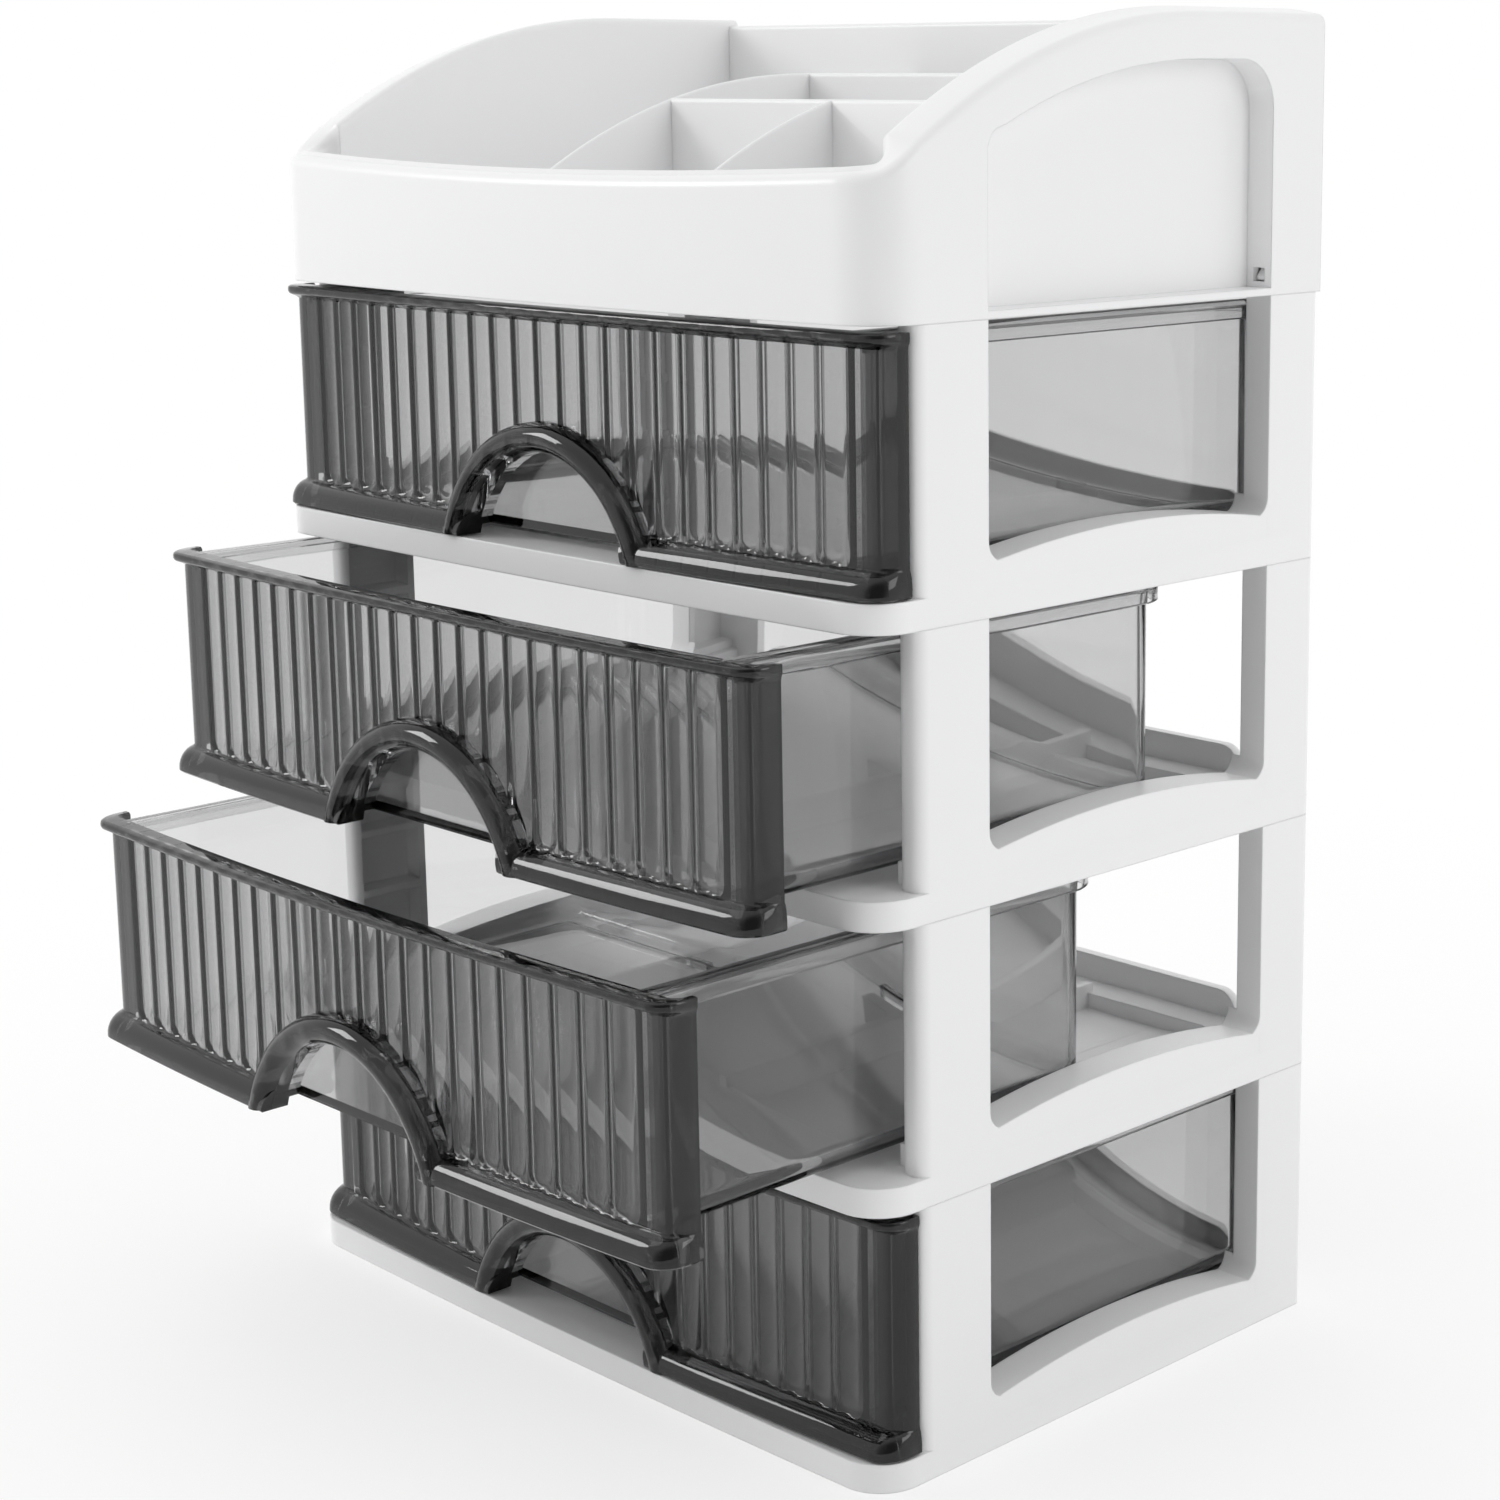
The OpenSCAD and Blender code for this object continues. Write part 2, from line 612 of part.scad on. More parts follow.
module top_tray() {
    color(case_colour) translate([0, 0, tray_z]) {
        difference() {
            tray_collar();
            both_sides() {
                intersection() {
                    side_recess();
                    translate([0, -case_d, recess_z]) cube([case_w, 2 * case_d, tray_h]);
                }
                column_hollow(front_post_y + front_post_r, front_post_d - front_post_r);
                column_hollow(window_rear_y, rear_post_d);
                translate([half_w - wall - clearance - tongue_t - clearance, window_rear_y - 1, slot_z])
                    cube([tongue_t + 2 * clearance, wall + 2, slot_h]);
            }
        }
        long_divider(divider_left_x, rear_y - rear_wall_t);
        long_divider(divider_right_x, rear_y - divider_mid_y);
        cross_divider(rear_y - divider_rear_y);
        cross_divider(rear_y - divider_mid_y);
    }
}

tier(1);  // tier_1
tier(2);  // tier_2
tier(3);  // tier_3
tier(4);  // tier_4
top_tray();
drawer(1, drawer_1_open);  // drawer_1
drawer(2, drawer_2_open);  // drawer_2
drawer(3, drawer_3_open);  // drawer_3
drawer(4, drawer_4_open);  // drawer_4
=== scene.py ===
"""Desktop organiser: four white stacked cases with smoke-grey drawers under an open white tray."""
import math

import bmesh
import bpy
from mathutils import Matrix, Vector


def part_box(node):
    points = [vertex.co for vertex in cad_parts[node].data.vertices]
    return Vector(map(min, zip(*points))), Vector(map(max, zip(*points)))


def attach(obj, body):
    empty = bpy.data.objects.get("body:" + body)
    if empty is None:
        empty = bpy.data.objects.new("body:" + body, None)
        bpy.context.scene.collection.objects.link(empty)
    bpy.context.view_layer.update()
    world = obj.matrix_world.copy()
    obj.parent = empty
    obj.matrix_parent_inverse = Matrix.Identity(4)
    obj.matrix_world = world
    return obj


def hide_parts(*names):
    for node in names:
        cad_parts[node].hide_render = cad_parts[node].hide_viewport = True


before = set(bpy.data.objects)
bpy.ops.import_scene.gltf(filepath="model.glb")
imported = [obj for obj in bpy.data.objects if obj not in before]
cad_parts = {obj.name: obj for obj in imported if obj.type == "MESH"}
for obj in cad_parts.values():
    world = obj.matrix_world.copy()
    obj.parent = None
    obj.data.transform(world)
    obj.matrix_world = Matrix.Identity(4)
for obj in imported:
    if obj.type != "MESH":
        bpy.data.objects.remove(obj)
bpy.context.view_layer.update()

# Lengths are in millimetres in the part's frame, and are turned into metres as meshes are made. Bare
# lengths of up to 2 mm round a small edge, or make solids overlap, so that no two of them share a face.
MM = 0.001


# ---- Sizes ----

def corners(node):
    """Lowest and highest corner of a CAD node, in millimetres."""
    low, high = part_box(node)
    return [v / MM for v in low], [v / MM for v in high]


TIER_LOW, TIER_HIGH = corners("tier_1")
HALF_W = TIER_HIGH[0]
REAR_Y = TIER_HIGH[1]
LIP_Y = TIER_LOW[1]
TIER_H = corners("tier_2")[0][2]
TRAY_Z = corners("top_tray")[0][2]
DRAWER_FRONT = [corners("drawer_%d" % level)[0][1] for level in (1, 2, 3, 4)]
OPEN = [max(DRAWER_FRONT) - y for y in DRAWER_FRONT]

# Cases: plates, posts and rails
WALL = 2.2
LIP_H = 7.4
LIP_BOW = 1.5
CASE_FRONT_R = 12
CASE_REAR_R = 3
POST_T = 8
RAIL_W = 11
FRONT_POST_Y = LIP_Y + 16
FRONT_POST_D = 23.3
FRONT_POST_R = 3.5
REAR_POST_D = 20.5
WINDOW_FRONT_Y = FRONT_POST_Y + FRONT_POST_D
WINDOW_REAR_Y = REAR_Y - REAR_POST_D
REAR_WALL_T = 3
REAR_LEG_W = 20
REAR_RAIL_H = 15
REAR_RAIL_R = 6
REAR_RAIL_GAP = 3
RAIL_END_H = 13
RAIL_RISE = 4.5
RAIL_FILLET_R = 5
POST_RIB_PITCH = 17

# Cases: floor, runners and stops
WELL_X = HALF_W - RAIL_W - 10
WELL_FRONT_Y = LIP_Y + 18
WELL_REAR_Y = REAR_Y - REAR_WALL_T - 10
WELL_R = 6
GRID_T = 3
GRID_PANEL_T = 1.6
GRID_RIB_W = 2.4
GRID_PITCH_X = 25
GRID_PITCH_Y = 33
RUNNER_X = 50
RUNNER_Z = LIP_H + 2.5
STOP_W = 12
STOP_D = 4
CLEARANCE = 0.3
# Degrees by which an arc at a front corner stops short, because the bowed front starts with a slope
CORNER_SHORT = 2

# Tongues on the posts, which hold the next case or the tray
TONGUE_W = 3
TONGUE_D = 2.4
TONGUE_H = 9
TOOTH_OUT = 1.4
TOOTH_Z = 3.7
TOOTH_TIP_H = 1
TOOTH_H = 2.9

# Drawers: box, rim and feet
BOX_X = HALF_W - RAIL_W - 1.5
BOX_REAR_Y = REAR_Y - REAR_WALL_T - 4.3
BOX_Z = RUNNER_Z + CLEARANCE
BOX_TOP = TIER_H - 1.5
BOX_R = 9
# Rounding between the box's walls and its floor
BOX_FOOT_R = 5
BOX_WALL = 2
BOX_FLOOR_T = 2.2
RIM_OUT = 3.9
RIM_OUT_REAR = 2.5
RIM_DROP = 4.9
RIM_T = 1.6
FOOT_X0 = 38.3
FOOT_X1 = 47.3
# How far the feet's front and rear faces stand before the box's rear face
FOOT_FRONT = 5
FOOT_REAR = 2
TRAVEL = 70

# Drawers: front
FRONT_X = HALF_W - 1
FRONT_R = 6
FRONT_T = 3
FRONT_BOW = 3.8
# How fast the front's wall thickens round its corners: a high power does it only where it faces forwards
THICKEN_POWER = 8
FACE_MID_Y = LIP_Y + 4.7
FACE_CORNER_Y = FACE_MID_Y + FRONT_BOW
FLANGE_Y = FRONT_POST_Y - 0.5
FLUTE_COUNT = 24
FLUTE_PITCH = 9.2
FLUTE_DEPTH = 0.75
# Share of the flutes' depth that the inner face follows
FLUTE_INSIDE = 0.8
# Round lower end of a flute: gap to the pull lip, rise towards the ridges, and length of the fade
FLUTE_END_GAP = 0.6
FLUTE_END_RISE = 3.2
FLUTE_END_FADE = 1.2
RIDGES_END = (FLUTE_COUNT - 1) * FLUTE_PITCH / 2
FLUTED_ZONE_END = RIDGES_END + 4.5
# Heights over the pull lip at which the flutes' round lower ends are drawn
FLUTE_STEPS = (0.5, 1.1, 1.7, 2.3, 2.9, 3.5, 4.2, 5, 8)
BEAD_H = 3.8
BEAD_OUT = 3.4
SIDE_REACH = 0.16
# Rim flange from its root up to its top: share of the way out, and depth under the top
FLANGE = [(0, 3.8), (0.25, 3.2), (0.5, 2.8), (0.75, 2.5), (0.9, 2.2), (1, 1.6), (1, 0.9), (0.95, 0.4),
          (0.8, 0.1), (0.6, 0)]
PULL_Z = LIP_H + CLEARANCE
PULL_H = 6.4
PULL_OUT = 5.0
ARCH_R = 43.2
ARCH_DROP = 3.2
ARCH_BEAD_W = 7.75
ARCH_BEAD_OUT = 5.6
# Under 1, the bead's section is fuller than half an ellipse
ARCH_BEAD_POWER = 0.85
ARCH_BEAD_EDGE = 1.5
ARCH_BEAD_BACK = 2.5
NICHE_Y = FACE_MID_Y + 6
NICHE_WALL = 2
# How far before the face the cut of the finger opening starts
NICHE_CUT = 9

# How strongly the smoke plastic darkens with its thickness, per metre
SMOKE_DENSITY = 148
# Share of light that each zone of a drawer lets through at a surface, besides what its thickness takes:
# near 1 for the box, and painted shade, much lower, for the front, beads, corners and ridges
BOX_SHADE = 0.97
# Painted shade that darkens the fluted front beyond what its thickness takes
FRONT_PAINTED_SHADE = 0.68
# Painted shade: the pull lip and beads near black, in place of the dark reflections and refraction in them
BEAD_PAINTED_SHADE = 0.04
# Painted shade on the front's round corners and side returns, in place of the dark look through their
# thick plastic
CORNER_PAINTED_SHADE = 0.1
# Painted shade: thin dark lines along the ridges between the flutes
RIDGE_PAINTED_SHADE = 0.2
# Width of the painted shade line on each ridge between two flutes, as a share of their pitch
RIDGE_SHARE = 0.1

# Tray
TRAY_H = 70.8
TRAY_FRONT_H = 34.4
TRAY_FRONT_DIP = 3
TRAY_BOW = 4.5
TRAY_BACK = 3.2
TRAY_R = 15
TRAY_CORNER_SHORT = 4.6
RIM_LEVEL = 45
RIM_FALL = 40.5
RIM_POWER = 2.17
RIM_W = 12.4
TRAY_FRONT_T = 6
RIM_CREST = 1.2
RIM_EDGE_R = 3
RIM_IN_R = 2
TRAY_REAR_T = REAR_WALL_T + 0.6
TRAY_REAR_DROP = 0.6
TRAY_REAR_R = 1.2
TRAY_FLOOR_T = 2.4
RECESS_D = 8
RECESS_Z = 1.9
RECESS_BAND = 11.7
RECESS_FRONT_R = 6
RECESS_REAR_R = 12
# Angle at which the round front end of the recess meets the falling line under the rim
RECESS_FRONT_A = 122
SOCKET_H = 11
SLOT_Z0 = 3.4
SLOT_Z1 = 6.9
DIVIDER_T = 1.8
DIVIDER_DROP = 15
# How far a divider's end reaches into the front wall
DIVIDER_BITE = 1.5
DIVIDER_LEFT_X = -26
DIVIDER_RIGHT_X = 37
DIVIDER_REAR_Y = REAR_Y - 45
DIVIDER_MID_Y = REAR_Y - 95


# ---- Lines and solids ----

def clamp(value, low, high):
    """The value, kept between low and high."""
    return max(low, min(high, value))


def arc(cx, cy, r, a0, a1, n):
    """Points of an arc in degrees, from a0 to a1 in n steps."""
    steps = [math.radians(a0 + (a1 - a0) * i / n) for i in range(n + 1)]
    return [(cx + r * math.cos(t), cy + r * math.sin(t)) for t in steps]


def bowed(x, x_end, y_end, bow):
    """Depth of a bowed line at x: y_end at its ends, bow further forward in the middle."""
    return y_end - bow * (1 - (x / x_end) ** 2)


def spread(a, b, n):
    """n + 1 even values from a to b."""
    return [a + (b - a) * i / n for i in range(n + 1)]


def plan(x, y_rear, y_end, bow, r_front, r_rear):
    """Closed plan outline with a bowed front, counter-clockwise seen from above."""
    x_end = x - r_front
    front = [(px, bowed(px, x_end, y_end, bow)) for px in spread(-x_end, x_end, 40)]
    return (arc(-x + r_rear, y_rear - r_rear, r_rear, 90, 180, 8)
            + arc(-x_end, y_end + r_front, r_front, 180, 270 - CORNER_SHORT, 16) + front
            + arc(x_end, y_end + r_front, r_front, 270 + CORNER_SHORT, 360, 16)
            + arc(x - r_rear, y_rear - r_rear, r_rear, 0, 90, 8))


def make(name, points, faces):
    """New object from points in millimetres, with its faces turned outwards."""
    mesh = bpy.data.meshes.new(name)
    mesh.from_pydata([Vector(p) * MM for p in points], [], faces)
    bm = bmesh.new()
    bm.from_mesh(mesh)
    bmesh.ops.remove_doubles(bm, verts=bm.verts, dist=1e-7)
    bmesh.ops.recalc_face_normals(bm, faces=bm.faces)
    bm.to_mesh(mesh)
    bm.free()
    obj = bpy.data.objects.new(name, mesh)
    bpy.context.scene.collection.objects.link(obj)
    return obj


def skin(rings, name="skin"):
    """Solid through a row of closed rings with the same number of points."""
    n = len(rings[0])
    last = (len(rings) - 1) * n
    faces = [(i * n + j, i * n + (j + 1) % n, (i + 1) * n + (j + 1) % n, (i + 1) * n + j)
             for i in range(len(rings) - 1) for j in range(n)]
    faces += [list(range(n))[::-1], [last + j for j in range(n)]]
    return make(name, [p for ring in rings for p in ring], faces)


def prism_z(outline, z0, z1):
    """Outline in X and Y, extruded upwards."""
    return skin([[(x, y, z) for x, y in outline] for z in (z0, z1)])


def plate_x(outline, x0, x1):
    """Outline in Y and Z, extruded along X."""
    return skin([[(x, y, z) for y, z in outline] for x in (x0, x1)])


def plate_y(outline, y0, y1):
    """Outline in X and Z, extruded along Y."""
    return skin([[(x, y, z) for x, z in outline] for y in (y0, y1)])


def block(x0, x1, y0, y1, z0, z1):
    """Box between two corners."""
    return prism_z([(x0, y0), (x1, y0), (x1, y1), (x0, y1)], z0, z1)


def side_block(side, x_near, x_far, y0, y1, z0, z1):
    """Block on one side of the middle; side is 1 for the right and -1 for the left."""
    x0, x1 = sorted((side * x_near, side * x_far))
    return block(x0, x1, y0, y1, z0, z1)


def mirrored(obj):
    """Copy of a solid on the other side of the middle."""
    points = [(-v.co.x / MM, v.co.y / MM, v.co.z / MM) for v in obj.data.vertices]
    return make("mirrored", points, [tuple(p.vertices) for p in obj.data.polygons])


def combine(name, base, steps):
    """Adds ('UNION') and cuts ('DIFFERENCE') solids in order, and returns the result as one mesh."""
    for operation, tools in steps:
        for tool in tools:
            modifier = base.modifiers.new("solid", "BOOLEAN")
            modifier.operation = operation
            modifier.solver = "MANIFOLD"
            modifier.object = tool
    bpy.context.view_layer.update()
    evaluated = base.evaluated_get(bpy.context.evaluated_depsgraph_get())
    mesh = bpy.data.meshes.new_from_object(evaluated)
    mesh.name = name
    for obj in [base] + [tool for _, tools in steps for tool in tools]:
        bpy.data.objects.remove(obj)
    return mesh


def smooth(mesh, degrees):
    """Smooth shading with sharp edges above an angle."""
    mesh.shade_smooth()
    mesh.set_sharp_from_angle(angle=math.radians(degrees))


def place(name, mesh, offset, node, body, material):
    """Copy of a mesh moved by an offset in millimetres, standing for a CAD node."""
    copy = mesh.copy()
    for v in copy.vertices:
        v.co += Vector(offset) * MM
    copy.materials.clear()
    copy.materials.append(material)
    obj = bpy.data.objects.new(name, copy)
    bpy.context.scene.collection.objects.link(obj)
    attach(obj, body)
    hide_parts(node)


# ---- Cases ----

def rail_z(y):
    """Height of the side rail's arched top."""
    middle = (WINDOW_FRONT_Y + WINDOW_REAR_Y) / 2
    half = (WINDOW_REAR_Y - WINDOW_FRONT_Y) / 2
    return RAIL_END_H + RAIL_RISE * (1 - ((y - middle) / half) ** 2)


def rail_fillet(y, side):
    """Concave fillet where the rail's top meets a post; side is 1 behind the post and -1 before it."""
    r = RAIL_FILLET_R
    z0 = RAIL_END_H + 0.1
    curve = arc(y + side * r, z0 + r, r, 180 if side > 0 else 0, 270 if side > 0 else -90, 8)
    return plate_x([(y - side * 0.1, z0 - 0.2), (y - side * 0.1, z0 + r)] + curve
                   + [(y + side * r, z0 - 0.2)], HALF_W - RAIL_W, HALF_W)


def front_post():
    """Right front post, with a rounded front."""
    r = FRONT_POST_R
    x0 = HALF_W - POST_T
    outline = ([(x0, WINDOW_FRONT_Y)] + arc(x0 + r, FRONT_POST_Y + r, r, 180, 270, 8)
               + arc(HALF_W - r, FRONT_POST_Y + r, r, 270, 360, 8) + [(HALF_W, WINDOW_FRONT_Y)])
    return prism_z(outline, 0.1, TIER_H)


def rear_post():
    """Right rear post, with a leg along the back."""
    r = CASE_REAR_R
    x0 = HALF_W - POST_T
    x_leg = HALF_W - REAR_LEG_W
    outline = ([(x0, WINDOW_REAR_Y), (HALF_W, WINDOW_REAR_Y), (HALF_W, REAR_Y - r)]
               + arc(HALF_W - r, REAR_Y - r, r, 15, 90, 6)
               + [(x_leg, REAR_Y), (x_leg, REAR_Y - REAR_WALL_T), (x0, REAR_Y - REAR_WALL_T)])
    return prism_z(outline, 0.1, TIER_H)


def post_pockets(y, depth, z0):
    """Pockets that open towards the drawer, between level ribs."""
    count = math.floor((TIER_H - z0 - WALL) / POST_RIB_PITCH)
    step = (TIER_H - z0 - WALL) / count
    x0 = HALF_W - POST_T - 1
    return [block(x0, HALF_W - WALL, y, y + depth, z0 + i * step, z0 + (i + 1) * step - WALL)
            for i in range(count)]


def well(grow, z0, z1):
    """The floor's opening, with rounded corners, made larger by grow."""
    x = WELL_X + grow - WELL_R
    y0 = WELL_FRONT_Y - grow + WELL_R
    y1 = WELL_REAR_Y + grow - WELL_R
    return prism_z(arc(-x, y0, WELL_R, 180, 270, 8) + arc(x, y0, WELL_R, 270, 360, 8)
                   + arc(x, y1, WELL_R, 0, 90, 8) + arc(-x, y1, WELL_R, 90, 180, 8), z0, z1)


def grid():
    """Floor in the opening: a thin panel on a grid of ribs, with the runners and their stop blocks."""
    y0 = WELL_FRONT_Y - WALL
    y1 = WELL_REAR_Y + WALL
    x1 = WELL_X + WALL
    half = GRID_RIB_W / 2
    solids = [block(i * GRID_PITCH_X - half, i * GRID_PITCH_X + half, y0, y1, 0, GRID_T)
              for i in range(-3, 4)]
    solids += [block(-x1, x1, i * GRID_PITCH_Y - half, i * GRID_PITCH_Y + half, 0, GRID_T)
               for i in (-1, 0, 1)]
    solids.append(block(-x1, x1, y0, y1, GRID_T - GRID_PANEL_T, GRID_T - 0.05))
    stop_y = BOX_REAR_Y - FOOT_FRONT - TRAVEL - CLEARANCE
    outer = RUNNER_X + half
    for side in (-1, 1):
        solids.append(side_block(side, RUNNER_X - half, outer, y0, y1, 0, RUNNER_Z))
        solids.append(side_block(side, outer - STOP_W, outer, stop_y - STOP_D, stop_y, 0, RUNNER_Z))
    return solids


def tongue(y):
    """Tongue on top of a right-hand post, with its front face at y."""
    x1 = HALF_W - WALL - CLEARANCE
    return block(x1 - TONGUE_W, x1, y, y + TONGUE_D, TIER_H - 0.1, TIER_H + TONGUE_H)


def tooth(y):
    """Tooth on the front face, at y, of the rear tongue."""
    x1 = HALF_W - WALL - CLEARANCE - 0.05
    z = TIER_H + TOOTH_Z
    outline = [(y + 0.1, z), (y - TOOTH_OUT, z), (y - TOOTH_OUT, z + TOOTH_TIP_H), (y + 0.1, z + TOOTH_H)]
    return plate_x(outline, x1 - TONGUE_W + 0.1, x1)


def side_solids():
    """Right side of a case: the arched rail, both posts, the fillets, and the rail's ends in the posts."""
    x0 = HALF_W - RAIL_W
    x1 = HALF_W - 2
    ys = spread(WINDOW_REAR_Y + 1, WINDOW_FRONT_Y - 1, 32)
    rail = plate_x([(WINDOW_FRONT_Y - 1, 0.2), (WINDOW_REAR_Y + 1, 0.2)] + [(y, rail_z(y)) for y in ys],
                   x0, HALF_W - 0.02)
    front_end = block(x0, x1, FRONT_POST_Y + FRONT_POST_R, WINDOW_FRONT_Y, 0.3, RAIL_END_H)
    rear_end = block(x0, x1, WINDOW_REAR_Y, REAR_Y - 2, 0.3, RAIL_END_H)
    return [rail, front_post(), rear_post(),
            rail_fillet(WINDOW_FRONT_Y, 1), rail_fillet(WINDOW_REAR_Y, -1), front_end, rear_end]


def side_hollows():
    """Hollows of a case's right side: under the rail, and the pockets in the posts."""
    y0 = FRONT_POST_Y + FRONT_POST_R + WALL
    y1 = REAR_Y - REAR_WALL_T - WALL
    ys = [y1] + spread(WINDOW_REAR_Y, WINDOW_FRONT_Y, 24) + [y0]
    rail = plate_x([(y0, -1), (y1, -1)]
                   + [(y, rail_z(clamp(y, WINDOW_FRONT_Y, WINDOW_REAR_Y)) - WALL) for y in ys],
                   HALF_W - RAIL_W + WALL, HALF_W - WALL)
    z0 = RAIL_END_H + WALL
    return ([rail] + post_pockets(FRONT_POST_Y + WALL, FRONT_POST_D - 2 * WALL, z0)
            + post_pockets(WINDOW_REAR_Y + WALL, REAR_POST_D - WALL - REAR_WALL_T, z0))


def rear_rail():
    """Low rail between the rear legs, with rounded upper corners."""
    r = REAR_RAIL_R
    x = HALF_W - REAR_LEG_W - REAR_RAIL_GAP
    z = REAR_RAIL_H - r
    return plate_y([(-x, 0.4), (x, 0.4)] + arc(x - r, z, r, 0, 90, 8) + arc(-x + r, z, r, 90, 180, 8),
                   REAR_Y - REAR_WALL_T, REAR_Y - 0.02)


def tier_mesh():
    """One drawer case, hollow from below, standing on its base at the origin's height."""
    slab = prism_z(plan(HALF_W, REAR_Y, LIP_Y + LIP_BOW, LIP_BOW, CASE_FRONT_R, CASE_REAR_R), 0, LIP_H)
    inside = plan(HALF_W - WALL, REAR_Y - WALL, LIP_Y + LIP_BOW + WALL, LIP_BOW, CASE_FRONT_R - WALL,
                  CASE_REAR_R - WALL / 2)
    under = prism_z(inside, -1, LIP_H - WALL)
    side = side_solids()
    hollows = side_hollows()
    well_wall = well(WALL, 0, LIP_H - WALL + 0.1)
    rear_tongue_y = WINDOW_REAR_Y + WALL + CLEARANCE
    tongues = [tongue(FRONT_POST_Y + FRONT_POST_R + WALL + CLEARANCE), tongue(rear_tongue_y),
               tooth(rear_tongue_y)]
    return combine("tier", slab, [
        ("UNION", side + [mirrored(s) for s in side] + [rear_rail()]),
        ("DIFFERENCE", [under] + hollows + [mirrored(s) for s in hollows]),
        ("UNION", [well_wall]),
        ("DIFFERENCE", [well(0, -1, LIP_H + 1)]),
        ("UNION", grid() + tongues + [mirrored(s) for s in tongues])])


# ---- Drawers ----

def face_y(x):
    """Front line of the drawer at the ridges."""
    return bowed(x, FRONT_X - FRONT_R, FACE_CORNER_Y, FRONT_BOW)


def front_stations():
    """(x, y, nx, ny, position in the flute from 0 to 1) along the front, from side to side."""
    x_end = FRONT_X - FRONT_R
    left = [(-FRONT_X, y, -1, 0, 0) for y in (FLANGE_Y, FACE_CORNER_Y + FRONT_R + 0.4)]
    for i in range(13):
        a = math.radians(180 + (90 - CORNER_SHORT) * i / 12)
        left.append((-x_end + FRONT_R * math.cos(a), FACE_CORNER_Y + FRONT_R + FRONT_R * math.sin(a),
                     math.cos(a), math.sin(a), 0))
    samples = 10
    line = [(-x_end + (x_end - RIDGES_END) * t, 0) for t in (0.3, 0.6)]
    line += [(-RIDGES_END + FLUTE_PITCH * i / samples, (i % samples) / samples)
             for i in range((FLUTE_COUNT - 1) * samples + 1)]
    line += [(x_end - (x_end - RIDGES_END) * t, 0) for t in (0.6, 0.3)]
    front = []
    for x, u in line:
        slope = 2 * FRONT_BOW * x / x_end ** 2
        length = math.hypot(1, slope)
        front.append((x, face_y(x), slope / length, -1 / length, u))
    right = [(-x, y, -nx, ny, u) for x, y, nx, ny, u in reversed(left)]
    return left + front + right


def flute_cut(u, z):
    """Depth of a flute at u across it and height z: full, with a round end above the pull lip."""
    z_end = PULL_Z + PULL_H + FLUTE_END_GAP + FLUTE_END_RISE * (2 * u - 1) ** 2
    return FLUTE_DEPTH * 4 * u * (1 - u) * clamp((z - z_end) / FLUTE_END_FADE + 0.5, 0.0, 1.0)


def front_section(station):
    """Closed section of the front at a station: pull lip, flute, rim flange, then the inner face."""
    x, y, nx, ny, u = station
    # The beads reach out fully at the front and only SIDE_REACH of the way at the sides, and the wall
    # gets thicker once it faces forwards.
    reach = SIDE_REACH + (1 - SIDE_REACH) * ny ** 2
    inner = -BOX_WALL - (FRONT_T - BOX_WALL) * max(0.0, -ny) ** THICKEN_POWER
    pull = reach * PULL_OUT
    points = [(inner, PULL_Z), (pull - 0.5, PULL_Z), (pull, PULL_Z + 0.5)]
    for a in range(0, 96, 12):
        t = math.radians(min(a, 90))
        points.append((pull * math.cos(t), PULL_Z + 1 + (PULL_H - 1) * math.sin(t)))
    z0 = PULL_Z + PULL_H
    z1 = BOX_TOP - BEAD_H
    heights = [z0 + step for step in FLUTE_STEPS] + [z1 - 0.5]
    for z in heights:
        points.append((-flute_cut(u, z), z))
    out = reach * BEAD_OUT
    for share, drop in FLANGE:
        points.append((out * share - flute_cut(u, z1) * (1 - share), BOX_TOP - drop))
    points += [(inner + 0.6, BOX_TOP), (inner, BOX_TOP - 0.6)]
    # Down the inner face, with fewer points than up the outer one
    for z in (z1, heights[-1], heights[-2], heights[5], heights[3], z0):
        points.append((inner - FLUTE_INSIDE * flute_cut(u, z), z))
    return [(x + nx * out, y + ny * out, z) for out, z in points]


def box_path():
    """(x, y, nx, ny) round the drawer's box: back along the left side, across the rear, and forwards."""
    x_end = BOX_X - BOX_R
    y_end = BOX_REAR_Y - BOX_R
    left = [(-BOX_X, y, -1, 0) for y in spread(FACE_CORNER_Y + 1.2, y_end, 6)[:-1]]
    for i in range(13):
        a = math.radians(180 - 90 * i / 12)
        left.append((-x_end + BOX_R * math.cos(a), y_end + BOX_R * math.sin(a), math.cos(a), math.sin(a)))
    return left + [(-x, y, -nx, ny) for x, y, nx, ny in reversed(left)]


def box_section(station):
    """Wall of the box with its outward rim and the rim's hanging skirt."""
    x, y, nx, ny = station
    top = BOX_TOP
    out = RIM_OUT - (RIM_OUT - RIM_OUT_REAR) * max(0.0, ny)
    under = top - RIM_T
    drop = top - RIM_DROP
    inner_z = BOX_Z + BOX_FLOOR_T
    points = [(-BOX_FOOT_R - 2, BOX_Z), (-BOX_FOOT_R - 2, inner_z)]
    points += [(-BOX_WALL - BOX_FOOT_R + px, inner_z + BOX_FOOT_R + pz)
               for px, pz in arc(0, 0, BOX_FOOT_R, 270, 360, 8)]
    points += [(-BOX_WALL, top - 0.7), (-BOX_WALL + 0.2, top - 0.2),
              (-BOX_WALL + 0.7, top), (out - 0.8, top), (out - 0.2, top - 0.2), (out, top - 0.8),
              (out, drop + 0.3), (out - 0.3, drop), (out - RIM_T + 0.3, drop), (out - RIM_T, drop + 0.3),
              (out - RIM_T, under - 0.4), (out - RIM_T - 0.3, under), (0.3, under), (0, under - 0.3)]
    points += [(-BOX_FOOT_R + px, BOX_Z + BOX_FOOT_R + pz) for px, pz in arc(0, 0, BOX_FOOT_R, 0, -90, 8)]
    return [(x + nx * o, y + ny * o, z) for o, z in points]


def arch_outline(r, z0, n=72):
    """Part of a disc under the arch above the height z0, in X and Z."""
    a = math.degrees(math.asin((z0 + ARCH_DROP) / r))
    return arc(0, -ARCH_DROP, r, a, 180 - a, n)


